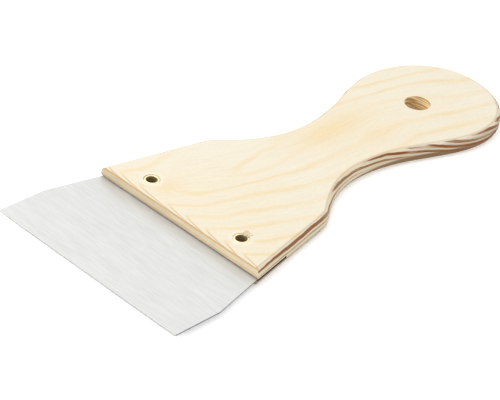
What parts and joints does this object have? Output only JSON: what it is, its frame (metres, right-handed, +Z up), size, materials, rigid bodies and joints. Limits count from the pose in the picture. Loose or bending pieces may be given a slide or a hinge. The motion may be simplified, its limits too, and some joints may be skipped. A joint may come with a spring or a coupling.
{
  "type": "flexible putty knife",
  "caption": "Wide flexible putty knife: a thin steel blade riveted in the sawn slot of a flat wooden paddle handle with a hanging hole.",
  "frame": {"origin": "below the middle of the whole knife, on the handle's flat underside", "axes": "+X along the knife from the blade's working edge to the tail of the handle, +Y across the blade, +Z up out of the handle's top face"},
  "size_m": [0.2716, 0.12, 0.0092],
  "materials": {
    "pine": "bare sanded softwood with brown latewood lines on the edges",
    "spring_steel": "fine satin grind that runs across the blade",
    "brass": "plain rolled brass, slightly dull"
  },
  "bodies": {
    "root": {"handle": "pine", "blade": "spring_steel", "rivet_left": "brass", "rivet_right": "brass"}
  },
  "joints": []
}
